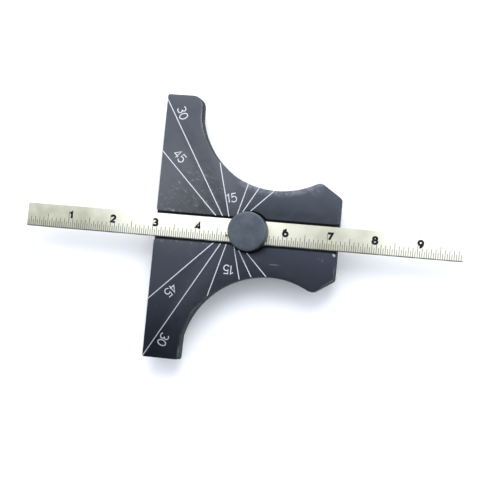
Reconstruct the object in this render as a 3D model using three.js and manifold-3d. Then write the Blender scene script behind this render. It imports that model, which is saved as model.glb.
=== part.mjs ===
// A T-shaped rule depth and angle gauge: a steel head with a milled groove, a narrow steel rule that
// slides in the groove, and a slotted clamp stud that a knurled nut behind the head draws down.
//
// Millimetres, +Z up. The origin is the middle of the head's reference face. +X runs along the rule
// from the reference face to the tail, +Y runs along the reference face, and +Z points out of the
// engraved face of the head.
import * as THREE from 'three';
import { mergeVertices } from 'three/addons/utils/BufferGeometryUtils.js';
import Module from 'manifold-3d';

const wasm = await Module();
wasm.setup();

// ---- driving dimensions -------------------------------------------------------------------------

const FIT_GAP = 0.1; // running clearance between pieces that touch

const head = {
  length: 41.7, // reference face to tail face
  halfWidth: 30, // the reference face is twice this wide
  thickness: 4,
  armWidth: 8.3,
  cornerReach: 0.5, // how far the small corner roundings start from their corners
  armEndReachUpper: 2.6, // the rounding at the inner end corner of the +Y arm, and of the -Y arm
  armEndReachLower: 0.7,
  bayRadius: 19.2, // the concave round between arm and tail
  bayCentreX: 27.1,
  bayCentreY: 28.9,
  apexX: 36.9, // where the concave round meets the tail chamfer
  apexReach: 1.1,
  tailHalfWidth: 9.2,
  edgeBreak: 0.2, // chamfer on the edges of both faces
};

const groove = { width: 6.2, depth: 1 };

const rule = { length: 100, width: 5.35, thickness: 0.7, zeroEndX: -30.55, cornerReach: 0.25 };

const stud = {
  x: 21.8, // the clamp axis, from the reference face
  radius: 4.4,
  standOut: 3.2, // how far the round top stands above the engraved face
  topChamfer: 0.35,
  slotSideGap: 0.15,
  lift: 0.6, // how far the stud can rise when the nut is loose
  footThickness: 0.4, // metal left under the slot
  shankRadius: 2,
  shankEnd: 0.4, // how far the shank stops short of the nut's outer face
};

const bore = { radiusGap: 0.3, shankGap: 0.2 };

const spring = { outerRadius: 4.2, innerRadius: 2.7, thickness: 0.2, wave: 0.12, waves: 3, space: 0.7 };

const washer = { outerRadius: 4.5, innerRadius: 2.2, thickness: 0.5 };

const nut = { radius: 5, height: 3, chamfer: 0.4, teeth: 44, toothDepth: 0.22, boreGap: FIT_GAP };

// ---- heights along Z that follow from them ------------------------------------------------------

const faceZ = head.thickness / 2;
const backZ = -faceZ;
const grooveFloorZ = faceZ - groove.depth;
const ruleBottomZ = grooveFloorZ + FIT_GAP;
const ruleTopZ = ruleBottomZ + rule.thickness;
const slotTopZ = ruleTopZ + FIT_GAP;
const slotBottomZ = ruleBottomZ - FIT_GAP - stud.lift;
const studFootZ = slotBottomZ - stud.footThickness;
const boreFloorZ = studFootZ - spring.space;
const washerTopZ = backZ - FIT_GAP;
const nutTopZ = washerTopZ - washer.thickness - FIT_GAP;
const nutEndZ = nutTopZ - nut.height;
const shankEndZ = nutEndZ + stud.shankEnd;

// ---- helpers ------------------------------------------------------------------------------------

const ROUND_STEPS = 64; // facets round a full turn
const BEYOND = 1; // how far a cutter runs past the face it cuts

function toSolid(geometry) {
  const bare = geometry.index ? geometry.clone() : geometry;
  bare.deleteAttribute('normal');
  bare.deleteAttribute('uv');
  const merged = mergeVertices(bare, 1e-4);
  return new wasm.Manifold(
    new wasm.Mesh({
      numProp: 3,
      vertProperties: new Float32Array(merged.attributes.position.array),
      triVerts: new Uint32Array(merged.index.array),
    }),
  );
}

function toGeometry(solid) {
  const mesh = solid.getMesh();
  const geometry = new THREE.BufferGeometry();
  geometry.setAttribute('position', new THREE.BufferAttribute(mesh.vertProperties, 3));
  geometry.setIndex(new THREE.BufferAttribute(mesh.triVerts, 1));
  geometry.computeVertexNormals();
  return geometry;
}

function box(x0, x1, y0, y1, z0, z1) {
  const geometry = new THREE.BoxGeometry(x1 - x0, y1 - y0, z1 - z0);
  return geometry.translate((x0 + x1) / 2, (y0 + y1) / 2, (z0 + z1) / 2);
}

// A closed solid of revolution about Z through (x, 0), from [radius, z] pairs listed upwards on the
// outside.
function turned(profile, x, steps = ROUND_STEPS) {
  const points = profile.map(([r, z]) => new THREE.Vector2(r, z));
  return new THREE.LatheGeometry(points, steps).rotateX(Math.PI / 2).translate(x, 0, 0);
}

function ring(outerRadius, innerRadius, bottomZ, topZ, x) {
  return turned(
    [
      [innerRadius, bottomZ],
      [outerRadius, bottomZ],
      [outerRadius, topZ],
      [innerRadius, topZ],
      [innerRadius, bottomZ],
    ],
    x,
  );
}

// Goes towards a corner and rounds it off, leaving the corner in the direction of a later point.
function roundCorner(shape, corner, next, reach) {
  const along = next.clone().sub(corner).setLength(reach);
  const back = shape.currentPoint.clone().sub(corner).setLength(reach);
  shape.lineTo(corner.x + back.x, corner.y + back.y);
  shape.quadraticCurveTo(corner.x, corner.y, corner.x + along.x, corner.y + along.y);
}

function piece(name, geometry, colour, metalness, roughness) {
  const material = new THREE.MeshStandardMaterial({ color: colour, metalness, roughness });
  const mesh = new THREE.Mesh(geometry, material);
  mesh.name = name;
  return mesh;
}

// ---- head ---------------------------------------------------------------------------------------

// One side of the outline, from the middle of the reference face round to the middle of the tail.
// side is 1 for +Y and -1 for -Y. The points come back in order from the reference face.
function halfOutline(side) {
  const at = (x, y) => new THREE.Vector2(x, y);
  const endCorner = at(0, head.halfWidth);
  const innerCorner = at(head.armWidth, head.halfWidth);
  const across = head.bayCentreX - head.armWidth;
  const startAngle = Math.PI + Math.acos(across / head.bayRadius);
  const endAngle = 2 * Math.PI - Math.acos((head.apexX - head.bayCentreX) / head.bayRadius);
  const bayPoint = (angle) =>
    at(head.bayCentreX + head.bayRadius * Math.cos(angle), head.bayCentreY + head.bayRadius * Math.sin(angle));
  const apex = bayPoint(endAngle);
  const armEndReach = side > 0 ? head.armEndReachUpper : head.armEndReachLower;
  const tailCorner = at(head.length, head.tailHalfWidth);
  const trimmedEnd = endAngle - head.apexReach / head.bayRadius;

  const half = new THREE.Shape();
  half.moveTo(0, 0);
  roundCorner(half, endCorner, innerCorner, head.cornerReach);
  roundCorner(half, innerCorner, bayPoint(startAngle), armEndReach);
  half.absarc(head.bayCentreX, head.bayCentreY, head.bayRadius, startAngle, trimmedEnd, false);
  const leave = tailCorner.clone().sub(apex).setLength(head.apexReach);
  half.quadraticCurveTo(apex.x, apex.y, apex.x + leave.x, apex.y + leave.y);
  roundCorner(half, tailCorner, at(head.length, 0), head.cornerReach);
  return half.getPoints(10).map((point) => at(point.x, side * point.y));
}

function headOutline() {
  const upper = halfOutline(1);
  const lower = halfOutline(-1);
  const around = [...lower, ...upper.slice(1).reverse()];
  return new THREE.Shape(around);
}

function makeHead() {
  const plate = new THREE.ExtrudeGeometry(headOutline(), {
    depth: head.thickness - 2 * head.edgeBreak,
    bevelEnabled: true,
    bevelThickness: head.edgeBreak,
    bevelSize: head.edgeBreak,
    bevelOffset: -head.edgeBreak,
    bevelSegments: 1,
  }).translate(0, 0, backZ + head.edgeBreak);
  const halfGroove = groove.width / 2;
  const grooveCut = box(-BEYOND, head.length + BEYOND, -halfGroove, halfGroove, grooveFloorZ, faceZ + BEYOND);
  const studRadius = stud.radius + bore.radiusGap;
  const shankRadius = stud.shankRadius + bore.shankGap;
  const boreCut = turned(
    [
      [0, backZ - BEYOND],
      [shankRadius, backZ - BEYOND],
      [shankRadius, boreFloorZ],
      [studRadius, boreFloorZ],
      [studRadius, faceZ + BEYOND],
      [0, faceZ + BEYOND],
    ],
    stud.x,
  );
  return toGeometry(toSolid(plate).subtract(toSolid(grooveCut)).subtract(toSolid(boreCut)));
}

// ---- rule ---------------------------------------------------------------------------------------

function makeRule() {
  const x0 = rule.zeroEndX;
  const x1 = x0 + rule.length;
  const half = rule.width / 2;
  const corners = [
    new THREE.Vector2(x1, -half),
    new THREE.Vector2(x1, half),
    new THREE.Vector2(x0, half),
    new THREE.Vector2(x0, -half),
  ];
  const shape = new THREE.Shape();
  shape.moveTo((x0 + x1) / 2, -half);
  corners.forEach((corner, i) => {
    const next = corners[(i + 1) % corners.length];
    roundCorner(shape, corner, next, rule.cornerReach);
  });
  const settings = { depth: rule.thickness, bevelEnabled: false, curveSegments: 4 };
  return new THREE.ExtrudeGeometry(shape, settings).translate(0, 0, ruleBottomZ);
}

// ---- clamp stud ---------------------------------------------------------------------------------

function makeStud() {
  const topZ = faceZ + stud.standOut;
  const body = turned(
    [
      [0, shankEndZ],
      [stud.shankRadius - stud.topChamfer, shankEndZ],
      [stud.shankRadius, shankEndZ + stud.topChamfer],
      [stud.shankRadius, studFootZ],
      [stud.radius, studFootZ],
      [stud.radius, topZ - stud.topChamfer],
      [stud.radius - stud.topChamfer, topZ],
      [0, topZ],
    ],
    stud.x,
  );
  const halfSlot = rule.width / 2 + stud.slotSideGap;
  const reach = stud.radius + BEYOND;
  const slot = box(stud.x - reach, stud.x + reach, -halfSlot, halfSlot, slotBottomZ, slotTopZ);
  return toGeometry(toSolid(body).subtract(toSolid(slot)));
}

// ---- spring, washer and nut ---------------------------------------------------------------------

// A three-wave spring washer in the bottom of the head's bore: a flat ring whose height rises and
// falls three times round.
function makeSpring() {
  const middleZ = (studFootZ + boreFloorZ) / 2;
  const half = spring.thickness / 2;
  const flat = ring(spring.outerRadius, spring.innerRadius, middleZ - half, middleZ + half, 0);
  const position = flat.attributes.position;
  for (let i = 0; i < position.count; i += 1) {
    const angle = Math.atan2(position.getY(i), position.getX(i));
    position.setZ(i, position.getZ(i) + spring.wave * Math.cos(spring.waves * angle));
  }
  return toGeometry(toSolid(flat.translate(stud.x, 0, 0)));
}

function makeWasher() {
  const bottomZ = washerTopZ - washer.thickness;
  return ring(washer.outerRadius, washer.innerRadius, bottomZ, washerTopZ, stud.x);
}

// A straight-knurled round nut. The knurl is a ring of V teeth and each face has a turned chamfer.
function makeNut() {
  const boreRadius = stud.shankRadius + nut.boreGap;
  const knurl = new THREE.Shape();
  const count = 2 * nut.teeth;
  for (let i = 0; i < count; i += 1) {
    const radius = i % 2 ? nut.radius - nut.toothDepth : nut.radius;
    const angle = (i / count) * 2 * Math.PI;
    knurl[i ? 'lineTo' : 'moveTo'](radius * Math.cos(angle), radius * Math.sin(angle));
  }
  knurl.closePath();
  const toothed = new THREE.ExtrudeGeometry(knurl, { depth: nut.height, bevelEnabled: false });
  toothed.translate(stud.x, 0, nutEndZ);
  const faceRadius = nut.radius - nut.chamfer;
  const envelope = turned(
    [
      [boreRadius, nutEndZ],
      [faceRadius, nutEndZ],
      [nut.radius, nutEndZ + nut.chamfer],
      [nut.radius, nutTopZ - nut.chamfer],
      [faceRadius, nutTopZ],
      [boreRadius, nutTopZ],
      [boreRadius, nutEndZ],
    ],
    stud.x,
  );
  return toGeometry(toSolid(toothed).intersect(toSolid(envelope)));
}

// ---- assembly -----------------------------------------------------------------------------------

const gauge = new THREE.Group();
gauge.add(
  piece('head', makeHead(), 0x353b43, 0.7, 0.42),
  piece('rule', makeRule(), 0xd9dbd2, 0.9, 0.32),
  piece('clamp_stud', makeStud(), 0x5a616a, 0.8, 0.4),
  piece('stud_spring', makeSpring(), 0x8e9196, 1, 0.35),
  piece('back_washer', makeWasher(), 0x8e9196, 1, 0.35),
  piece('clamp_nut', makeNut(), 0x4a5058, 0.8, 0.4),
);

export default gauge;
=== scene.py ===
"""Looks for the rule depth and angle gauge: blued steel head, satin steel rule, turned clamp parts.

Lengths are in millimetres until a mesh is made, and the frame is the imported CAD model's: the origin
is the middle of the head's reference face, +X runs along the rule and +Z out of the engraved face.
"""

import math

import bmesh
import bpy
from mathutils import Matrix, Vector


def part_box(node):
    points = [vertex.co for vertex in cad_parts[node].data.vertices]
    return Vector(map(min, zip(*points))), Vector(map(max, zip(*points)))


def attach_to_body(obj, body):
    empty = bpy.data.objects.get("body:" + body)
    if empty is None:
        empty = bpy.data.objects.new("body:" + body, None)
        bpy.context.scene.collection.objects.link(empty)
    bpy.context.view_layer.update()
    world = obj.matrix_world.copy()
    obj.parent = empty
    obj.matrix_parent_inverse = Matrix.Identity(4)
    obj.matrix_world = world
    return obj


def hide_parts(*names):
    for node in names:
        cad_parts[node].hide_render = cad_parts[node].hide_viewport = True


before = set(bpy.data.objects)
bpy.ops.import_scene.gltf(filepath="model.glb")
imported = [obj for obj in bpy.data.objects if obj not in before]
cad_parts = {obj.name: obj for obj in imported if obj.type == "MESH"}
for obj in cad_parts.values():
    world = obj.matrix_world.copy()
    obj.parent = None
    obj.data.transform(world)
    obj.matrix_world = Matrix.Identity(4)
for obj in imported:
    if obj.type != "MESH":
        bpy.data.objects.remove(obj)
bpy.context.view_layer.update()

MM = 0.001
FULL_TURN = 2 * math.pi


# ---- places, from the CAD nodes ----------------------------------------------------------------


def box_mm(node):
    low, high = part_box(node)
    return low / MM, high / MM


head_low, head_high = box_mm("head")
rule_low, rule_high = box_mm("rule")
stud_low, stud_high = box_mm("clamp_stud")
spring_low, spring_high = box_mm("stud_spring")
washer_low, washer_high = box_mm("back_washer")
nut_low, nut_high = box_mm("clamp_nut")

FACE_Z = head_high.z
BACK_Z = head_low.z
HEAD_LENGTH = head_high.x
HEAD_HALF_WIDTH = head_high.y
RULE_HALF = rule_high.y
STUD_X = (stud_low.x + stud_high.x) / 2
STUD_RADIUS = (stud_high.x - stud_low.x) / 2

# ---- head outline and cuts ---------------------------------------------------------------------

ARM_WIDTH = 8.3
CORNER_REACH = 0.5
ARM_END_REACH = {1: 2.6, -1: 0.7}  # +Y and -Y arm
BAY_RADIUS, BAY_X, BAY_Y = 19.2, 27.1, 28.9
APEX_X, APEX_REACH = 36.9, 1.1
TAIL_HALF_WIDTH = 9.2
EDGE_ROUND = 0.22
GROOVE_HALF, GROOVE_DEPTH = 3.1, 1.0
GROOVE_END_ROUND = 0.75
LIP_ROUND = 0.16
BORE_RADIUS, BORE_FLOOR_Z, SHANK_BORE_RADIUS = 4.7, -0.7, 2.2

# each angle line's lean from the Y axis in degrees, and the X where it crosses the rule's middle
LINES = ((15, 17.7), (-15, 17.7), (30.8, 17.25), (-30, 17.35), (45, 16.95), (-45, 16.95))
LINE_TOP, LINE_BOTTOM, LINE_DEPTH = 0.2, 0.13, 0.06
NUMERAL_HEIGHT, NUMERAL_WIDTH, NUMERAL_BOTTOM = 1.92, 1.2, 0.15

# ---- clamp parts -------------------------------------------------------------------------------

STUD_CHAMFER = 0.35
STUD_FOOT_Z = 0.0
SHANK_RADIUS = 2.0
SLOT_HALF, SLOT_LOW_Z, SLOT_HIGH_Z = 2.825, 0.4, 1.9
THREAD_PITCH, THREAD_DEPTH = 0.7, 0.3
NUT_TEETH, NUT_TOOTH_DEPTH, NUT_CHAMFER, NUT_BORE, NUT_LEAD_IN = 44, 0.22, 0.4, 2.1, 0.25
SPRING_THICKNESS, SPRING_INNER, SPRING_WAVES, SPRING_WAVE_HEIGHT = 0.2, 2.7, 3, 0.12
WASHER_INNER = 2.2


# ---- mesh helpers ------------------------------------------------------------------------------


def make_object(name, verts, faces, materials, sharp_degrees=30.0):
    mesh = bpy.data.meshes.new(name)
    mesh.from_pydata([Vector(v) * MM for v in verts], [], faces)
    tidy = bmesh.new()
    tidy.from_mesh(mesh)
    bmesh.ops.recalc_face_normals(tidy, faces=tidy.faces)
    tidy.to_mesh(mesh)
    tidy.free()
    for material in materials:
        mesh.materials.append(material)
    piece = bpy.data.objects.new(name, mesh)
    bpy.context.scene.collection.objects.link(piece)
    shade(piece, sharp_degrees)
    return piece


def shade(piece, sharp_degrees):
    """Smooth shading between faces that meet gently, with the faces square to Z left flat."""
    mesh = piece.data
    for face in mesh.polygons:
        face.use_smooth = abs(face.normal.z) < 0.9999
    mesh.set_sharp_from_angle(angle=math.radians(sharp_degrees))


def cut(piece, cutters, sharp_degrees=30.0, self_crossing=False):
    """Subtracts the cutters, whose materials go with the faces they leave."""
    for cutter in cutters:
        step = piece.modifiers.new(cutter.name, "BOOLEAN")
        step.operation = "DIFFERENCE"
        step.solver = "EXACT"
        step.material_mode = "TRANSFER"
        step.use_self = self_crossing
        step.object = cutter
    graph = bpy.context.evaluated_depsgraph_get()
    result = bpy.data.meshes.new_from_object(piece.evaluated_get(graph))
    before = len(piece.data.vertices)
    piece.modifiers.clear()
    piece.data = result
    if len(result.vertices) < before / 2:
        raise RuntimeError(f"cutting {piece.name} lost most of it")
    for cutter in cutters:
        bpy.data.objects.remove(cutter)
    shade(piece, sharp_degrees)
    return piece


def prism(rings):
    """Verts and faces of a closed solid through rings of equal length, with flat ends."""
    count = len(rings[0])
    verts = [v for ring in rings for v in ring]
    faces = [list(range(count))[::-1], [(len(rings) - 1) * count + i for i in range(count)]]
    for level in range(len(rings) - 1):
        for i in range(count):
            a = level * count + i
            b = level * count + (i + 1) % count
            faces.append((a, b, b + count, a + count))
    return verts, faces


def join(parts):
    """One list of verts and faces from several."""
    verts, faces = [], []
    for part_verts, part_faces in parts:
        start = len(verts)
        verts.extend(part_verts)
        faces.extend([start + i for i in face] for face in part_faces)
    return verts, faces


def turned(profile, steps, centre_x, shape=None, ring=False):
    """Verts and faces turned about Z from (radius, z) pairs.

    A solid's profile runs from the axis to the axis and a ring's closes on itself. shape takes the
    pair's number, its radius, z and the angle, and gives back the radius and z to use there.
    """
    verts, rows = [], []
    for number, (radius, z) in enumerate(profile):
        if radius == 0:
            rows.append([len(verts)])
            verts.append((centre_x, 0, z))
            continue
        row = []
        for i in range(steps):
            angle = FULL_TURN * i / steps
            r, h = shape(number, radius, z, angle) if shape else (radius, z)
            row.append(len(verts))
            verts.append((centre_x + r * math.cos(angle), r * math.sin(angle), h))
        rows.append(row)
    faces = []
    pairs = list(zip(rows, rows[1:]))
    if ring:
        pairs.append((rows[-1], rows[0]))
    for low, high in pairs:
        for i in range(steps):
            j = (i + 1) % steps
            if len(low) == 1:
                faces.append((low[0], high[i], high[j]))
            elif len(high) == 1:
                faces.append((low[i], low[j], high[0]))
            else:
                faces.append((low[i], low[j], high[j], high[i]))
    return verts, faces


def rounded(corners, radius, steps=4):
    """A profile of (radius, z) corners with each inner corner turned into a small arc."""
    out = [corners[0]]
    for before, here, after in zip(corners, corners[1:], corners[2:]):
        p, q, r = Vector(before), Vector(here), Vector(after)
        reach = min(radius, (p - q).length * 0.45, (r - q).length * 0.45)
        start, end = q + (p - q).normalized() * reach, q + (r - q).normalized() * reach
        for i in range(steps + 1):
            t = i / steps
            point = start.lerp(q, t).lerp(q.lerp(end, t), t)
            out.append((point.x, point.y))
    out.append(corners[-1])
    return out


def rounded_ring(corners, radius, steps=4):
    """The same for a closed profile, where every corner is rounded."""
    middle = [(a + b) / 2 for a, b in zip(corners[0], corners[-1])]
    return rounded([middle, *corners, middle], radius, steps)[:-1]


# ---- strokes for figures -----------------------------------------------------------------------


def arc(cx, cy, rx, ry, start, end, steps=14):
    """Points on an ellipse between two angles in degrees."""
    angles = [math.radians(start + (end - start) * i / steps) for i in range(steps + 1)]
    return [(cx + rx * math.cos(a), cy + ry * math.sin(a)) for a in angles]


def loop(cx, cy, rx, ry):
    return arc(cx, cy, rx, ry, 90, 450, 28)[:-1]


# Each figure is a list of (closed, points) strokes in a box one wide and one high.
FIGURES = {
    "0": [(True, loop(0.5, 0.5, 0.5, 0.5))],
    "1": [(False, [(0.18, 0.78), (0.6, 1.0), (0.6, 0.0)])],
    "2": [(False, arc(0.48, 0.71, 0.46, 0.29, 170, -28) + [(0.04, 0.0), (1.0, 0.0)])],
    "3": [
        (False, arc(0.47, 0.75, 0.43, 0.25, 150, -80) + arc(0.47, 0.27, 0.5, 0.27, 75, -155)),
    ],
    "4": [(False, [(0.74, 0.0), (0.74, 1.0), (0.0, 0.28), (1.0, 0.28)])],
    "5": [(False, [(0.94, 1.0), (0.16, 1.0), (0.1, 0.54)] + arc(0.45, 0.33, 0.52, 0.33, 128, -150))],
    "6": [(True, loop(0.5, 0.31, 0.48, 0.31)), (False, arc(0.72, 0.3, 0.7, 0.7, 90, 180))],
    "7": [(False, [(0.0, 1.0), (1.0, 1.0), (0.38, 0.0)])],
    "8": [(True, loop(0.5, 0.76, 0.4, 0.24)), (True, loop(0.5, 0.27, 0.5, 0.27))],
    "9": [(True, loop(0.5, 0.69, 0.48, 0.31)), (False, arc(0.28, 0.7, 0.7, 0.7, 270, 360))],
}


def ribbon(points, closed, top_z, bottom_z, top_width, bottom_width):
    """A solid stroke along points, with a width at its top and another at its bottom."""
    count = len(points)
    sides = []
    for i in range(count):
        here = Vector(points[i])
        before = Vector(points[i - 1]) if closed or i else None
        after = Vector(points[(i + 1) % count]) if closed or i < count - 1 else None
        into = (here - before).normalized() if before else (after - here).normalized()
        out = (after - here).normalized() if after else into
        along = (into + out).normalized()
        miter = 1 / max(0.55, along.dot(into))
        sides.append((here, Vector((-along.y, along.x)) * miter / 2))
    verts, faces = [], []
    for here, side in sides:
        for width, z in ((top_width, top_z), (bottom_width, bottom_z)):
            for sign in (1, -1):
                point = here + side * width * sign
                verts.append((point.x, point.y, z))
    spans = count if closed else count - 1
    for i in range(spans):
        a, b = 4 * i, 4 * ((i + 1) % count)
        for p, q in ((0, 1), (1, 3), (3, 2), (2, 0)):
            faces.append((a + p, a + q, b + q, b + p))
    if not closed:
        last = 4 * (count - 1)
        faces += [(0, 2, 3, 1), (last + 1, last + 3, last + 2, last)]
    return verts, faces


def figure(digit, place, turn_degrees, width, height, place_from="corner"):
    """The strokes of one digit, in the head's plane, at a place and turned about it."""
    a = math.radians(turn_degrees)
    shift = (0.5, 0.5) if place_from == "centre" else (0, 0)
    out = []
    for closed, points in FIGURES[digit]:
        moved = []
        for u, v in points:
            x, y = (u - shift[0]) * width, (v - shift[1]) * height
            moved.append(
                (place[0] + x * math.cos(a) - y * math.sin(a), place[1] + x * math.sin(a) + y * math.cos(a))
            )
        out.append((closed, moved))
    return out


# ---- node helpers ------------------------------------------------------------------------------


class Paint:
    """A material being built: short calls for the nodes these finishes use."""

    def __init__(self, name):
        self.material = bpy.data.materials.new(name)
        self.material.use_nodes = True
        self.tree = self.material.node_tree
        self.shader = self.tree.nodes["Principled BSDF"]
        place = self.add("ShaderNodeTexCoord").outputs["Object"]
        scaled = self.add("ShaderNodeVectorMath", {0: place, "Scale": 1 / MM}, operation="SCALE")
        self.place = scaled.outputs[0]
        parts = self.add("ShaderNodeSeparateXYZ", {0: self.place})
        self.x, self.y, self.z = parts.outputs
        normal = self.add("ShaderNodeTexCoord").outputs["Normal"]
        self.up = self.add("ShaderNodeSeparateXYZ", {0: normal}).outputs["Z"]
        self.level = self.calc("ABSOLUTE", self.up)  # 1 on faces square to Z, 0 on walls
        in_plane = {0: self.place, 1: (1, 1, 0)}
        self.flat = self.add("ShaderNodeVectorMath", in_plane, operation="MULTIPLY").outputs[0]

    def add(self, kind, inputs=None, **settings):
        node = self.tree.nodes.new(kind)
        for key, value in settings.items():
            setattr(node, key, value)
        for key, value in (inputs or {}).items():
            if isinstance(value, bpy.types.NodeSocket):
                self.tree.links.new(value, node.inputs[key])
            else:
                node.inputs[key].default_value = value
        return node

    def set(self, name, value):
        socket = self.shader.inputs[name]
        if isinstance(value, bpy.types.NodeSocket):
            self.tree.links.new(value, socket)
        else:
            socket.default_value = value

    def calc(self, operation, a, b=0.0, clamp=False):
        return self.add("ShaderNodeMath", {0: a, 1: b}, operation=operation, use_clamp=clamp).outputs[0]

    def remap(self, value, low, high, to_low=0.0, to_high=1.0, smooth=True):
        kind = "SMOOTHSTEP" if smooth else "LINEAR"
        inputs = {"Value": value, "From Min": low, "From Max": high, "To Min": to_low, "To Max": to_high}
        return self.add("ShaderNodeMapRange", inputs, interpolation_type=kind).outputs["Result"]

    def mix(self, factor, a, b):
        def colour(c):
            return c if isinstance(c, bpy.types.NodeSocket) else (*c, 1.0)

        return self.add("ShaderNodeMix", {0: factor, 6: colour(a), 7: colour(b)}, data_type="RGBA").outputs[2]

    def stretched(self, scale, turn_degrees=0.0):
        """The place with each axis scaled, after a turn about Z."""
        turned_place = self.add(
            "ShaderNodeVectorRotate",
            {"Vector": self.place, "Angle": math.radians(turn_degrees)},
            rotation_type="Z_AXIS",
        ).outputs[0]
        return self.add("ShaderNodeVectorMath", {0: turned_place, 1: scale}, operation="MULTIPLY").outputs[0]

    def noise(self, scale, detail=3.0, place=None, rough=0.55):
        inputs = {
            "Vector": place or self.place,
            "Scale": scale,
            "Detail": detail,
            "Roughness": rough,
        }
        return self.add("ShaderNodeTexNoise", inputs).outputs["Fac"]

    def distance(self, x, y):
        """How far the place is from the line along Z through a point."""
        inputs = {0: self.flat, 1: (x, y, 0)}
        return self.add("ShaderNodeVectorMath", inputs, operation="DISTANCE").outputs["Value"]

    def near(self, x, y, inner, outer):
        """1 within one distance of a point, fading to 0 at another."""
        return self.remap(self.distance(x, y), outer, inner)

    def most(self, *values):
        """The largest of several masks."""
        best = values[0]
        for value in values[1:]:
            best = self.calc("MAXIMUM", best, value)
        return best

    def both(self, *values):
        """The product of several masks."""
        product = values[0]
        for value in values[1:]:
            product = self.calc("MULTIPLY", product, value)
        return product

    def edges(self, radius_mm, full=0.9):
        """1 on edges sharper than a round of this radius, 0 on flat faces."""
        eased = self.add("ShaderNodeBevel", {"Radius": radius_mm * MM}, samples=6).outputs[0]
        plain = self.add("ShaderNodeNewGeometry").outputs["Normal"]
        inputs = {0: eased, 1: plain}
        same = self.add("ShaderNodeVectorMath", inputs, operation="DOT_PRODUCT").outputs["Value"]
        return self.remap(same, 0.998, full, 0.0, 1.0, smooth=False)

    def bump(self, height, depth_mm, strength=1.0):
        inputs = {"Height": height, "Distance": depth_mm * MM, "Strength": strength}
        self.set("Normal", self.add("ShaderNodeBump", inputs).outputs[0])


# ---- finishes ----------------------------------------------------------------------------------

OXIDE_DARK, OXIDE_LIGHT = (0.087, 0.094, 0.106), (0.102, 0.108, 0.12)
# painted shade: darker tones for the face's tail, its -Y half and that half's arm end, standing in for a
# darker reflection
TAIL_PAINTED_SHADE, LOWER_HALF_PAINTED_SHADE, ARM_END_PAINTED_SHADE = (0.061, 0.073, 0.09), (0.03, 0.034, 0.047), (0.009, 0.011, 0.018)
# painted shade on the walls
WALL_PAINTED_SHADE = (0.022, 0.024, 0.028)
# rubbed steel's colour, also the colour of the painted sheen
RUBBED_STEEL_AND_SHEEN = (0.42, 0.43, 0.43)

# places that have been rubbed, and one of painted sheen: X, Y, and the distances where the mark is full and
# where it ends
HELD_PATCHES = ((8.5, 7.5, 3.0, 9.0), (3.5, 4.5, 1.0, 6.0))
# painted sheen: a lighter reflection over the face's upper left
LEFT_PAINTED_SHEEN = (5.0, 7.0, 3.0, 16.0)
HELD_EDGES = (
    (9.0, 25.0, 2.5, 5.0),
    (13.0, -19.0, 1.5, 5.0),
    (7.6, -28.2, 0.6, 2.0),
    (40.0, -8.5, 1.0, 3.5),
)
BAY_PEAK = (35.8, 10.9, 0.8, 2.6)
BRIGHT_SPOT = (3.98, 3.44, 0.1, 0.4)
TAIL_CHIP = (41.4, -3.5, 0.2, 0.6)
TAIL_SMEAR = (38.5, -4.9, 0.1, 1.0)
TAIL_SCRATCH = (28.3, -6.85, 0.8, 1.5)


def oxide_colour(p, mottle, grain):
    """Mottled oxide, darkened by painted shade on the walls and, on the face, on the tail, the -Y half and
    its arm's end.
    """
    tone = p.calc("ADD", p.calc("MULTIPLY", p.noise(0.07, 2.0), 0.5), p.calc("MULTIPLY", mottle, 0.25))
    tone = p.calc("ADD", tone, p.calc("MULTIPLY", grain, 0.25))
    colour = p.mix(p.remap(tone, 0.38, 0.62), OXIDE_DARK, OXIDE_LIGHT)
    front = p.remap(p.up, -0.3, 0.3)
    # painted shade on the face: darker on the tail, a step darker across the groove on the -Y half, darkest
    # at that arm's end
    colour = p.mix(p.both(front, p.remap(p.x, 15, 27), 0.8), colour, TAIL_PAINTED_SHADE)
    colour = p.mix(p.both(front, p.remap(p.y, 2.0, -2.0), 0.8), colour, LOWER_HALF_PAINTED_SHADE)
    arm_end = p.both(front, p.remap(p.y, -12, -27), p.remap(p.x, 18, 3), 0.9)
    colour = p.mix(arm_end, colour, ARM_END_PAINTED_SHADE)
    # painted shade: the walls are darkened
    return p.mix(p.remap(p.level, 0.75, 0.35), colour, WALL_PAINTED_SHADE)


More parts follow.
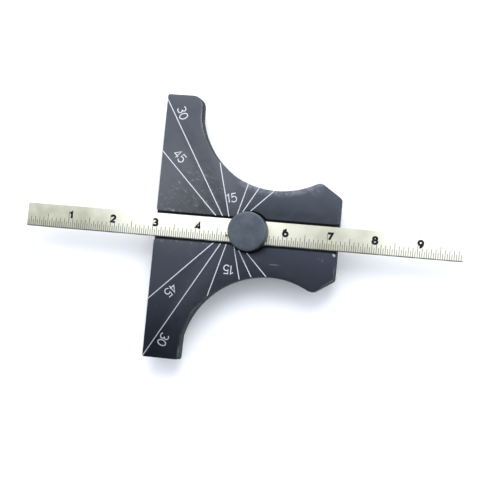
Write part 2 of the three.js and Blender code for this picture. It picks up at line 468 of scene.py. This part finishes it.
def face_wear(p, scratches, clouds):
    """Where the engraved face is rubbed: held patches, the groove's lip, one bay's edge, a few marks; with a
    painted sheen on the upper left, and painted shade that fades the lip's chips on the -Y half.
    """
    specks = p.remap(p.noise(2.9, 5.0, rough=0.75), 0.57, 0.66)
    chips = p.remap(p.noise(1.7, 4.0, rough=0.7), 0.53, 0.62)
    patchy = p.remap(p.noise(0.35, 2.0), 0.42, 0.6)
    patches = p.most(*[p.near(*place) for place in HELD_PATCHES])
    groove_lip = p.both(p.remap(p.calc("ABSOLUTE", p.y), 4.3, 3.2), p.remap(p.x, 16, 11))
    from_bay = p.calc("ABSOLUTE", p.calc("SUBTRACT", p.distance(BAY_X, BAY_Y), BAY_RADIUS))
    bay_edge = p.both(p.remap(from_bay, 1.7, 0.2), p.remap(p.x, 17, 20), p.remap(p.y, 0.0, 1.0))
    from_scratch = p.calc("ABSOLUTE", p.calc("SUBTRACT", p.y, TAIL_SCRATCH[1]))
    wear = p.most(
        p.both(patches, p.most(p.both(specks, patchy), scratches), 0.58),
        # painted sheen: lighter towards the upper left
        p.both(p.near(*LEFT_PAINTED_SHEEN), 0.11),
        # painted shade: the lip's chips are fainter on the -Y half
        p.both(groove_lip, chips, p.remap(p.y, 2.0, -2.0, 0.6, 0.25)),
        p.both(bay_edge, p.most(p.both(clouds, 0.35), p.both(chips, 0.4))),
        p.both(p.near(*BAY_PEAK), clouds, 0.14),
        p.both(p.near(*BRIGHT_SPOT), 0.9),
        p.both(p.near(*TAIL_CHIP), 0.9),
        p.both(p.near(*TAIL_SMEAR), specks, 0.8),
        p.both(p.remap(from_scratch, 0.2, 0.05), p.near(*TAIL_SCRATCH), clouds, 0.22),
    )
    return p.both(wear, p.remap(p.up, 0.7, 0.95))


def edge_wear(p):
    """Broken bright lines of wear on the edges, stronger where the gauge is held, and fainter on the -Y half
    as painted shade.
    """
    broken = p.remap(p.noise(1.3, 4.0), 0.5, 0.64, 0.04, 0.6)
    held = p.most(*[p.near(*place) for place in HELD_EDGES])
    held = p.both(held, p.remap(p.noise(0.9, 3.0), 0.42, 0.5), p.edges(0.5))
    edge = p.most(p.both(p.edges(0.2), broken), held)
    # painted shade: the edge lines are fainter on the -Y half
    return p.both(edge, p.remap(p.y, 2.0, -2.0, 0.85, 0.6))


def blued_steel():
    """Worn black oxide over milled steel, with rubbed patches, bright edges, dull walls darkened by painted
    shade, painted shade on parts of the face and a painted sheen on its upper left.
    """
    p = Paint("blued_steel")
    mottle = p.noise(0.55, 4.0)
    grain = p.noise(3.2, 3.0)
    clouds = p.remap(p.noise(0.9, 3.0), 0.38, 0.62, 0.3, 1.0)
    scuffs = p.remap(p.noise(1.0, 4.0, p.stretched((0.5, 2.6, 1.0), 32)), 0.58, 0.66)
    flecks = p.remap(p.noise(1.0, 3.0, p.stretched((0.5, 3.4, 1.0), -38)), 0.61, 0.68)
    scratches = p.most(scuffs, flecks)
    drags = p.most(
        p.remap(p.noise(1.0, 2.0, p.stretched((0.16, 9.0, 1.0), 61)), 0.7, 0.75),
        p.remap(p.noise(1.0, 2.0, p.stretched((0.2, 8.0, 1.0), -27)), 0.7, 0.75),
    )
    scattered = p.remap(p.noise(0.13, 2.0), 0.5, 0.64)
    # wear marks, with a painted sheen on the face's upper left and painted shade fading them on the -Y half
    wear = p.most(
        face_wear(p, scratches, clouds),
        p.both(p.remap(p.up, -0.7, -0.95), scratches, scattered, 0.22),
        p.both(drags, p.remap(p.x, 30, 18, 0.3, 1.0), 0.16),
        edge_wear(p),
    )
    p.set("Base Color", p.mix(wear, oxide_colour(p, mottle, grain), RUBBED_STEEL_AND_SHEEN))
    p.set("Metallic", p.remap(p.level, 0.35, 0.75, 0.1, 0.85))
    p.set("Specular IOR Level", p.remap(p.level, 0.35, 0.75, 0.06, 0.5))
    rough = p.calc("ADD", p.remap(mottle, 0.3, 0.7, 0.3, 0.4), p.remap(p.level, 0.75, 0.35, 0.0, 0.25))
    p.set("Roughness", p.calc("SUBTRACT", rough, p.calc("MULTIPLY", wear, 0.08)))
    height = p.calc("ADD", grain, p.calc("MULTIPLY", drags, -1.5))
    p.bump(height, 0.008, 0.3)
    return p.material


def groove_oxide_and_shade():
    """The unworn oxide down in the groove and bore, darkened to near black as painted shade."""
    p = Paint("groove_oxide_and_shade")
    # painted shade: near black, so the groove and bore look shadowed
    p.set("Base Color", p.mix(p.noise(0.9, 3.0), (0.008, 0.009, 0.011), (0.02, 0.022, 0.026)))
    p.set("Metallic", 0.6)
    p.set("Roughness", 0.55)
    p.bump(p.noise(2.0, 3.0), 0.02, 0.4)
    return p.material


def white_fill():
    """Matt white filler in the engraving, a little dirty, and darker towards -Y."""
    p = Paint("white_fill")
    dirt = p.remap(p.noise(1.6, 4.0), 0.45, 0.75)
    # darker towards -Y
    lower = p.remap(p.y, 0.0, -28.0, 0.12, 0.85)
    darkening = p.calc("MAXIMUM", p.calc("MULTIPLY", dirt, 0.5), lower)
    p.set("Base Color", p.mix(darkening, (0.66, 0.68, 0.73), (0.26, 0.27, 0.3)))
    p.set("Roughness", 0.6)
    p.bump(p.noise(6.0, 3.0), 0.01, 0.3)
    return p.material


# along X: where the rule turns grey towards its zero end, and the grey stretch past the clamp
ZERO_END_GREY = (-1.0, -19.0)
CLAMPED_GREY_RISE, CLAMPED_GREY_FALL = (20.0, 36.0), (55.0, 47.0)
RULE_SPOT = (16.7, -1.2, 0.1, 0.42)


def satin_steel():
    """Fine lengthwise brushing, greyer towards the zero end and past the clamp, with painted shade along the
    marked -Y edge.
    """
    p = Paint("satin_steel")
    brushed = p.noise(1.0, 3.0, p.stretched((0.25, 14.0, 4.0)))
    clouds = p.noise(0.22, 3.0)
    start = p.remap(p.x, *ZERO_END_GREY)
    clamped = p.both(p.remap(p.x, *CLAMPED_GREY_RISE), p.remap(p.x, *CLAMPED_GREY_FALL), 0.82)
    grey = p.calc("ADD", start, clamped)
    grey = p.calc("MULTIPLY", grey, p.remap(clouds, 0.3, 0.7, 0.75, 1.1), clamp=True)
    steel = p.mix(p.remap(brushed, 0.35, 0.65), (0.81, 0.79, 0.655), (0.87, 0.85, 0.71))
    steel = p.mix(grey, steel, (0.4, 0.39, 0.29))
    # painted shade: a dark broken line along the -Y edge
    painted_edge_shade = p.remap(p.y, -RULE_HALF + 0.3, -RULE_HALF + 0.14)
    painted_edge_shade = p.both(painted_edge_shade, p.remap(p.noise(0.4), 0.3, 0.6, 0.5, 0.9))
    steel = p.mix(painted_edge_shade, steel, (0.05, 0.05, 0.045))
    p.set("Base Color", p.mix(p.near(*RULE_SPOT), steel, (0.03, 0.03, 0.025)))
    p.set("Metallic", 0.75)
    p.set("Roughness", p.remap(brushed, 0.3, 0.7, 0.34, 0.42))
    p.bump(brushed, 0.004, 0.4)
    return p.material


def ink(name, fresh, worn_away):
    """Etched and blackened marks, a little worn."""
    p = Paint(name)
    worn = p.remap(p.noise(2.4, 3.0), 0.5, 0.8)
    p.set("Base Color", p.mix(worn, fresh, worn_away))
    p.set("Specular IOR Level", 0.12)
    p.set("Roughness", 0.6)
    p.bump(p.noise(5.0, 2.0), 0.004, 0.3)
    return p.material


def stud_steel():
    """Smooth grey turned steel: faint rings, a darker patch near the middle of its top, a lighter rim and a
    side darkened by painted shade.
    """
    p = Paint("stud_steel")
    ring_inputs = {"W": p.distance(STUD_X, 0), "Scale": 9.0, "Detail": 2.0}
    rings = p.add("ShaderNodeTexNoise", ring_inputs, noise_dimensions="1D").outputs["Fac"]
    cloud = p.noise(0.5, 3.0)
    tone = p.calc("ADD", p.calc("MULTIPLY", rings, 0.3), p.calc("MULTIPLY", cloud, 0.7))
    steel = p.mix(p.remap(tone, 0.38, 0.62), (0.078, 0.093, 0.109), (0.108, 0.122, 0.141))
    blotches = p.remap(p.noise(0.8, 3.0), 0.35, 0.6, 0.4, 1.0)
    # a darker patch near the middle of the top
    middle_patch = p.both(p.near(STUD_X + 0.3, 0.6, 0.3, 1.9), blotches, 0.55)
    steel = p.mix(middle_patch, steel, (0.062, 0.073, 0.085))
    # painted shade: the side is darkened
    steel = p.mix(p.remap(p.level, 0.6, 0.2), steel, (0.05, 0.057, 0.06))
    edge = p.calc("MULTIPLY", p.edges(0.2), p.remap(p.noise(1.5, 3.0), 0.3, 0.65, 0.3, 1.0))
    specks = p.calc("MULTIPLY", p.remap(p.noise(2.8, 4.0, rough=0.7), 0.66, 0.72), 0.25)
    wear = p.calc("MAXIMUM", p.calc("MULTIPLY", edge, 0.45), specks)
    p.set("Base Color", p.mix(wear, steel, (0.4, 0.42, 0.44)))
    p.set("Metallic", p.remap(p.level, 0.2, 0.6, 0.4, 0.8))
    p.set("Specular IOR Level", p.remap(p.level, 0.2, 0.6, 0.15, 0.5))
    p.set("Roughness", p.remap(cloud, 0.3, 0.7, 0.4, 0.48))
    p.bump(rings, 0.004, 0.4)
    return p.material


def nut_steel():
    """Blued knurled steel, rubbed bright on the crests."""
    p = Paint("nut_steel")
    mottle = p.noise(0.8, 4.0)
    oxide = p.mix(p.remap(mottle, 0.35, 0.65), (0.07, 0.078, 0.09), (0.12, 0.13, 0.142))
    edge = p.calc("MULTIPLY", p.edges(0.12), p.remap(p.noise(1.2, 3.0), 0.3, 0.65, 0.2, 1.0))
    specks = p.calc("MULTIPLY", p.remap(p.noise(2.2, 5.0, rough=0.75), 0.62, 0.7), 0.3)
    wear = p.calc("MAXIMUM", p.calc("MULTIPLY", edge, 0.7), specks)
    p.set("Base Color", p.mix(wear, oxide, (0.42, 0.43, 0.44)))
    p.set("Metallic", 0.85)
    p.set("Roughness", p.remap(mottle, 0.3, 0.7, 0.36, 0.5))
    p.bump(p.noise(3.0, 3.0), 0.01, 0.35)
    return p.material


def bright_steel(name, light, dark, roughness):
    """Plain steel for the washer and spring, with tumbling marks."""
    p = Paint(name)
    cloud = p.noise(0.9, 4.0)
    marks = p.remap(p.noise(1.0, 3.0, p.stretched((1.0, 6.0, 2.0), 20)), 0.55, 0.7)
    steel = p.mix(p.remap(cloud, 0.35, 0.65), dark, light)
    p.set("Base Color", p.mix(p.calc("MULTIPLY", marks, 0.35), steel, (0.28, 0.28, 0.29)))
    p.set("Metallic", 0.9)
    p.set("Roughness", p.remap(cloud, 0.3, 0.7, roughness - 0.05, roughness + 0.07))
    p.bump(p.noise(4.0, 3.0), 0.006, 0.35)
    return p.material


# ---- head --------------------------------------------------------------------------------------


def curve_corner(start, corner, end, steps):
    """Points on the quadratic curve that rounds a corner off."""
    s, c, e = Vector(start), Vector(corner), Vector(end)
    return [s.lerp(c, i / steps).lerp(c.lerp(e, i / steps), i / steps) for i in range(steps + 1)]


def round_at(before, corner, after, reach, steps=8):
    b, c, a = Vector(before), Vector(corner), Vector(after)
    return curve_corner(c + (b - c).normalized() * reach, c, c + (a - c).normalized() * reach, steps)


def half_outline(side):
    """Half of the head's outline, from the reference face round to the tail. side is 1 for +Y."""
    start = math.pi + math.acos((BAY_X - ARM_WIDTH) / BAY_RADIUS)
    end = FULL_TURN - math.acos((APEX_X - BAY_X) / BAY_RADIUS)

    def bay(angle):
        return (BAY_X + BAY_RADIUS * math.cos(angle), BAY_Y + BAY_RADIUS * math.sin(angle))

    end_corner, inner_corner = (0, HEAD_HALF_WIDTH), (ARM_WIDTH, HEAD_HALF_WIDTH)
    tail_corner = (HEAD_LENGTH, TAIL_HALF_WIDTH)
    trimmed = end - APEX_REACH / BAY_RADIUS
    apex = Vector(bay(end))
    leave = apex + (Vector(tail_corner) - apex).normalized() * APEX_REACH
    points = round_at((0, 0), end_corner, inner_corner, CORNER_REACH)
    points += round_at(end_corner, inner_corner, bay(start), ARM_END_REACH[side], 14)
    steps = 90
    points += [Vector(bay(start + (trimmed - start) * i / steps)) for i in range(1, steps + 1)]
    points += curve_corner(bay(trimmed), apex, leave, 8)[1:]
    points += round_at(apex, tail_corner, (HEAD_LENGTH, 0), CORNER_REACH)
    return [Vector((x, side * y)) for x, y in points]


def inset(points, distance):
    """The outline moved inwards. It runs clockwise seen from +Z."""
    out = []
    count = len(points)
    for i, here in enumerate(points):
        into = (here - points[i - 1]).normalized()
        away = (points[(i + 1) % count] - here).normalized()
        along = (into + away).normalized()
        out.append(here + Vector((along.y, -along.x)) * distance / max(0.4, along.dot(into)))
    return out


def eased_plate(outline, low_z, high_z, radius, steps):
    """Verts and faces of a plate whose top and bottom edges are rounded."""
    rings = []
    for i in range(steps + 1):
        a = math.pi / 2 * i / steps
        rings.append((radius * (1 - math.sin(a)), low_z + radius * (1 - math.cos(a))))
    rings += [(distance, low_z + high_z - z) for distance, z in reversed(rings)]
    return prism([[(p.x, p.y, z) for p in inset(outline, distance)] for distance, z in rings])


def make_plate(material):
    outline = half_outline(1) + half_outline(-1)[::-1]
    return make_object("gauge_head", *eased_plate(outline, BACK_Z, FACE_Z, EDGE_ROUND, 5), [material])


def groove_cutter(material):
    """The rule's groove, with eased lips and with its mouths rounded at both ends of the head."""
    reach = 1.0
    steps = 6
    stations = [(-reach, GROOVE_END_ROUND)]
    for i in range(steps + 1):
        a = math.pi / 2 * i / steps
        stations.append((GROOVE_END_ROUND * (1 - math.cos(a)), GROOVE_END_ROUND * (1 - math.sin(a))))
    stations += [(HEAD_LENGTH - x, flare) for x, flare in reversed(stations)]
    floor = FACE_Z - GROOVE_DEPTH
    right = [(GROOVE_HALF, floor)]
    for i in range(5):
        a = math.pi / 2 * i / 4
        right.append((GROOVE_HALF + LIP_ROUND * (1 - math.cos(a)), FACE_Z - LIP_ROUND * (1 - math.sin(a))))
    right.append((GROOVE_HALF + LIP_ROUND, FACE_Z + reach))
    rings = []
    for x, flare in stations:
        side = [(x, y + flare, z) for y, z in right]
        rings.append(side + [(x, -y, z) for x, y, z in reversed(side)])
    return make_object("groove_cutter", *prism(rings), [material])


def bore_cutter(material):
    top = FACE_Z + 1
    profile = [(0, BACK_Z - 1), (SHANK_BORE_RADIUS + 0.2, BACK_Z - 1), (SHANK_BORE_RADIUS + 0.2, BACK_Z)]
    profile += [(SHANK_BORE_RADIUS, BACK_Z + 0.2), (SHANK_BORE_RADIUS, BORE_FLOOR_Z)]
    profile += [(BORE_RADIUS, BORE_FLOOR_Z)]
    for i in range(5):
        a = math.pi / 2 * i / 4
        profile.append((BORE_RADIUS + LIP_ROUND * (1 - math.cos(a)), FACE_Z - LIP_ROUND * (1 - math.sin(a))))
    profile += [(BORE_RADIUS + LIP_ROUND, top), (0, top)]
    return make_object("bore_cutter", *turned(profile, 128, STUD_X), [material])


# digits, centre of each digit, and the direction the number reads in, in degrees
HEAD_NUMBERS = (
    ("30", ((3.6, 26.55), (4.15, 25.1)), -68),
    ("45", ((3.65, 16.45), (4.75, 15.4)), -43),
    ("15", ((16.35, 7.2), (17.6, 7.45)), 12),
    ("15", ((18.6, -8.8), (17.4, -8.75)), 180),
    ("45", ((5.65, -14.1), (4.65, -15.15)), -134),
    ("30", ((4.8, -25.1), (4.3, -26.5)), -110),
)


def engraving_cutters(material):
    top_z, bottom_z = FACE_Z + 0.1, FACE_Z - LINE_DEPTH
    flare = (LINE_TOP - LINE_BOTTOM) * (top_z - bottom_z) / LINE_DEPTH
    reach = 50
    parts = []
    for degrees, crossing in LINES:
        a = math.radians(degrees)
        ends = [(crossing + t * math.sin(a), -t * math.cos(a)) for t in (-reach, reach)]
        parts.append(ribbon(ends, False, top_z, bottom_z, LINE_BOTTOM + flare, LINE_BOTTOM))
    lines = make_object("line_cutter", *join(parts), [material])
    parts = []
    for digits, places, turn in HEAD_NUMBERS:
        for digit, place in zip(digits, places):
            for closed, points in figure(digit, place, turn, NUMERAL_WIDTH, NUMERAL_HEIGHT, "centre"):
                parts.append(ribbon(points, closed, top_z, bottom_z, NUMERAL_BOTTOM + flare, NUMERAL_BOTTOM))
    numbers = make_object("number_cutter", *join(parts), [material])
    return [lines, numbers]


def make_head():
    deep, fill = groove_oxide_and_shade(), white_fill()
    plate = make_plate(blued_steel())
    cut(plate, [groove_cutter(deep), bore_cutter(deep)])
    return cut(plate, engraving_cutters(fill), self_crossing=True)


# ---- rule --------------------------------------------------------------------------------------

TICKS = ((20, 3.9), (10, 3.05), (2, 2.25), (1, 1.55))  # half-millimetre steps: mark height
TICK_WIDTH, TICK_FOOT = 0.12, 0.05
RULE_EDGE_ROUND, RULE_CORNER_REACH = 0.07, 0.25
MARK_PROUD, MARK_SUNK = 0.006, 0.05
FIGURE_HEIGHT, FIGURE_WIDTH, FIGURE_STROKE = 1.44, 1.02, 0.53
FIGURE_FOOT, FIGURE_AFTER_TICK = 2.42, 0.04


def make_rule():
    x0, x1 = rule_low.x, rule_high.x
    corners = [(x0, -RULE_HALF), (x0, RULE_HALF), (x1, RULE_HALF), (x1, -RULE_HALF)]
    outline = []
    for i, here in enumerate(corners):
        outline += round_at(corners[i - 1], here, corners[(i + 1) % 4], RULE_CORNER_REACH, 6)
    body = eased_plate(outline, rule_low.z, rule_high.z, RULE_EDGE_ROUND, 3)
    return make_object("steel_rule", *body, [satin_steel()])


def make_rule_marks():
    top, bottom = rule_high.z + MARK_PROUD, rule_high.z - MARK_SUNK
    length = round(rule_high.x - rule_low.x)
    parts = []
    for step in range(1, 2 * length):
        x = rule_low.x + step / 2
        height = next(h for every, h in TICKS if step % every == 0)
        ends = [(x, -RULE_HALF + TICK_FOOT), (x, -RULE_HALF + height)]
        parts.append(ribbon(ends, False, top, bottom, TICK_WIDTH, TICK_WIDTH))
    faint = ink("tick_ink", (0.05, 0.056, 0.045), (0.15, 0.16, 0.13))
    ticks = make_object("rule_ticks", *join(parts), [faint])
    parts = []
    for number in range(1, length // 10):
        place = (rule_low.x + 10 * number + FIGURE_AFTER_TICK, -RULE_HALF + FIGURE_FOOT)
        strokes = figure(str(number), place, 0, FIGURE_WIDTH, FIGURE_HEIGHT)
        for layer, (closed, points) in enumerate(strokes):
            parts.append(ribbon(points, closed, top + 0.001 * layer, bottom, FIGURE_STROKE, FIGURE_STROKE))
    black = ink("figure_ink", (0.01, 0.01, 0.011), (0.03, 0.03, 0.032))
    figures = make_object("rule_figures", *join(parts), [black])
    return [ticks, figures]


# ---- clamp parts -------------------------------------------------------------------------------


def zigzag(value):
    """A wave of straight flanks between 0 and 1, once for each whole number."""
    return abs(2 * (value - math.floor(value)) - 1)


def make_stud(material):
    corners = [
        (0, stud_low.z),
        (SHANK_RADIUS - STUD_CHAMFER, stud_low.z),
        (SHANK_RADIUS, stud_low.z + STUD_CHAMFER),
    ]
    profile = rounded(corners, 0.05, 2)
    threaded_from = len(profile) - 1
    rows = 60
    top_of_thread = STUD_FOOT_Z - 0.15
    start = stud_low.z + STUD_CHAMFER
    for i in range(1, rows + 1):
        profile.append((SHANK_RADIUS, start + (top_of_thread - start) * i / rows))
    threaded_to = len(profile) - 1
    upper = [
        (SHANK_RADIUS, STUD_FOOT_Z - 0.05),
        (SHANK_RADIUS, STUD_FOOT_Z),
        (STUD_RADIUS, STUD_FOOT_Z),
        (STUD_RADIUS, stud_high.z - STUD_CHAMFER),
        (STUD_RADIUS - STUD_CHAMFER, stud_high.z),
        (0, stud_high.z),
    ]
    profile += rounded(upper, 0.14, 4)

    def threaded(number, radius, z, angle):
        if threaded_from <= number <= threaded_to:
            fade = min(1.0, (number - threaded_from) / 8, (threaded_to - number) / 8)
            radius -= THREAD_DEPTH * fade * zigzag(z / THREAD_PITCH - angle / FULL_TURN)
        return radius, z

    stud = make_object("clamp_stud_turned", *turned(profile, 128, STUD_X, threaded), [material], 28)
    reach = STUD_RADIUS + 1
    corners = [
        (-SLOT_HALF, SLOT_LOW_Z),
        (SLOT_HALF, SLOT_LOW_Z),
        (SLOT_HALF, SLOT_HIGH_Z),
        (-SLOT_HALF, SLOT_HIGH_Z),
    ]
    section = rounded_ring(corners, 0.12)
    rings = [[(x, y, z) for y, z in section] for x in (STUD_X - reach, STUD_X + reach)]
    slot = make_object("slot_cutter", *prism(rings), [material])
    return cut(stud, [slot], 28)


def make_spring(material):
    middle = (spring_low.z + spring_high.z) / 2
    outer = (spring_high.x - spring_low.x) / 2
    low, high = middle - SPRING_THICKNESS / 2, middle + SPRING_THICKNESS / 2
    corners = [(SPRING_INNER, low), (outer, low), (outer, high), (SPRING_INNER, high)]

    def waved(number, radius, z, angle):
        return radius, z + SPRING_WAVE_HEIGHT * math.cos(SPRING_WAVES * angle)

    profile = rounded_ring(corners, 0.05, 3)
    return make_object("wave_spring", *turned(profile, 144, STUD_X, waved, ring=True), [material])


def make_washer(material):
    outer = (washer_high.x - washer_low.x) / 2
    low, high = washer_low.z, washer_high.z
    corners = [(WASHER_INNER, low), (outer, low), (outer, high), (WASHER_INNER, high)]
    profile = rounded_ring(corners, 0.1)
    return make_object("flat_washer", *turned(profile, 128, STUD_X, ring=True), [material])


def make_nut(material):
    outer = (nut_high.x - nut_low.x) / 2
    low, high = nut_low.z, nut_high.z
    corners = [
        (NUT_BORE + NUT_LEAD_IN, low),
        (outer - NUT_CHAMFER, low),
        (outer, low + NUT_CHAMFER),
        (outer, high - NUT_CHAMFER),
        (outer - NUT_CHAMFER, high),
        (NUT_BORE + NUT_LEAD_IN, high),
        (NUT_BORE, high - NUT_LEAD_IN),
        (NUT_BORE, low + NUT_LEAD_IN),
    ]
    profile = rounded_ring(corners, 0.07, 3)

    def knurled(number, radius, z, angle):
        tooth = NUT_TEETH * angle / FULL_TURN
        valley = outer - NUT_TOOTH_DEPTH * min(1.0, 1.25 * zigzag(tooth + 0.5))
        return min(radius, valley), z

    body = turned(profile, NUT_TEETH * 8, STUD_X, knurled, ring=True)
    return make_object("knurled_nut", *body, [material], 24)


# ---- build and attach --------------------------------------------------------------------------


def attach(piece, body, node):
    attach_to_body(piece, body)
    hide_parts(node)


attach(make_head(), "head", "head")
attach(make_rule(), "rule", "rule")
for marks in make_rule_marks():
    attach(marks, "rule", "rule")
attach(make_stud(stud_steel()), "stud", "clamp_stud")
attach(make_nut(nut_steel()), "nut", "clamp_nut")
spring_metal = bright_steel("spring_metal", (0.52, 0.52, 0.5), (0.4, 0.4, 0.39), 0.32)
washer_metal = bright_steel("washer_metal", (0.56, 0.56, 0.57), (0.42, 0.42, 0.43), 0.36)
attach(make_spring(spring_metal), "head", "stud_spring")
attach(make_washer(washer_metal), "head", "back_washer")

# ---- floor, light and camera -------------------------------------------------------------------


FLOOR_HALF = 1500


def make_floor():
    p = Paint("pale_floor")
    p.set("Base Color", p.mix(p.noise(0.02, 2.0), (0.93, 0.93, 0.94), (0.95, 0.95, 0.95)))
    p.set("Roughness", 0.85)
    p.set("Specular IOR Level", 0.2)
    half = FLOOR_HALF
    corners = [(x, y, nut_low.z) for x, y in ((-half, -half), (half, -half), (half, half), (-half, half))]
    floor = make_object("floor", corners, [(0, 1, 2, 3)], [p.material])


WORLD_STRENGTH, WORLD_DARK_SHARE = 1.3, 0.25
WORLD_DARK_TOWARDS, WORLD_DARK_CORE, WORLD_DARK_EDGE = (-0.2, -0.22, 1.0), 7.0, 24.0  # degrees
WORLD_COLOUR = (0.91, 0.955, 1.05, 1.0)
# how much dimmer the -Y side of the room is than the +Y side
WORLD_SIDE = {"From Min": -0.8, "From Max": 0.8, "To Min": 0.45, "To Max": 1.6}


def make_world():
    """A white studio with one dark patch overhead, which the head's -Y half reflects."""
    world = bpy.data.worlds.new("studio")
    bpy.context.scene.world = world
    world.use_nodes = True
    tree = world.node_tree
    background = tree.nodes["Background"]
    direction = tree.nodes.new("ShaderNodeTexCoord").outputs["Generated"]
    towards = tree.nodes.new("ShaderNodeVectorMath")
    towards.operation = "DOT_PRODUCT"
    tree.links.new(direction, towards.inputs[0])
    towards.inputs[1].default_value = Vector(WORLD_DARK_TOWARDS).normalized()
    ramp = tree.nodes.new("ShaderNodeMapRange")
    ramp.interpolation_type = "SMOOTHSTEP"
    tree.links.new(towards.outputs["Value"], ramp.inputs["Value"])
    values = {
        "From Min": math.cos(math.radians(WORLD_DARK_CORE)),
        "From Max": math.cos(math.radians(WORLD_DARK_EDGE)),
        "To Min": WORLD_STRENGTH * WORLD_DARK_SHARE,
        "To Max": WORLD_STRENGTH,
    }
    for name, value in values.items():
        ramp.inputs[name].default_value = value
    split = tree.nodes.new("ShaderNodeSeparateXYZ")
    tree.links.new(direction, split.inputs[0])
    side = tree.nodes.new("ShaderNodeMapRange")
    side.interpolation_type = "SMOOTHSTEP"
    tree.links.new(split.outputs["Y"], side.inputs["Value"])
    for name, value in WORLD_SIDE.items():
        side.inputs[name].default_value = value
    product = tree.nodes.new("ShaderNodeMath")
    product.operation = "MULTIPLY"
    tree.links.new(ramp.outputs["Result"], product.inputs[0])
    tree.links.new(side.outputs["Result"], product.inputs[1])
    tree.links.new(product.outputs[0], background.inputs["Strength"])
    background.inputs["Color"].default_value = WORLD_COLOUR


KEY_PLACE, KEY_AIM, KEY_SIZE = (90, 380, 480), (20, 0, 0), 420
KEY_POWER, KEY_COLOUR = 2.1, (1.0, 0.99, 0.96)


def make_key_light():
    """One large soft lamp that casts the floor's shadow and leaves no glint."""
    data = bpy.data.lights.new("key", "AREA")
    data.shape = "DISK"
    data.size = KEY_SIZE * MM
    data.energy = KEY_POWER
    data.color = KEY_COLOUR
    light = bpy.data.objects.new("key", data)
    light.location = Vector(KEY_PLACE) * MM
    light.visible_glossy = False
    light.rotation_mode = "QUATERNION"
    light.rotation_quaternion = (Vector(KEY_AIM) - Vector(KEY_PLACE)).to_track_quat("-Z", "Y")
    bpy.context.scene.collection.objects.link(light)


CAMERA_AIM = (22.4, -4.0, FACE_Z)
CAMERA_DISTANCE = 279.5
CAMERA_LEAN_X, CAMERA_LEAN_Y, CAMERA_ROLL = 10.5, -3.1, 5.5  # degrees
CAMERA_LENS, CAMERA_SENSOR = 90.0, 36.0


def make_camera():
    data = bpy.data.cameras.new("camera")
    data.lens = CAMERA_LENS
    data.sensor_width = CAMERA_SENSOR
    data.clip_start, data.clip_end = 0.01, 10.0
    camera = bpy.data.objects.new("camera", data)
    lean_x, lean_y = math.radians(CAMERA_LEAN_X), math.radians(CAMERA_LEAN_Y)
    roll = math.radians(CAMERA_ROLL)
    back = Vector((math.tan(lean_x), math.tan(lean_y), 1)).normalized()
    level_right = Vector((0, 1, 0)).cross(back).normalized()
    level_up = back.cross(level_right)
    right = level_right * math.cos(roll) + level_up * math.sin(roll)
    up = back.cross(right)
    place = (Vector(CAMERA_AIM) + back * CAMERA_DISTANCE) * MM
    matrix = camera.matrix_world.copy()
    for column, vector in enumerate((right, up, back, place)):
        matrix.col[column][:3] = vector
    camera.matrix_world = matrix
    bpy.context.scene.collection.objects.link(camera)
    bpy.context.scene.camera = camera


make_floor()
make_world()
make_key_light()
make_camera()
bpy.context.scene.view_settings.view_transform = "Standard"
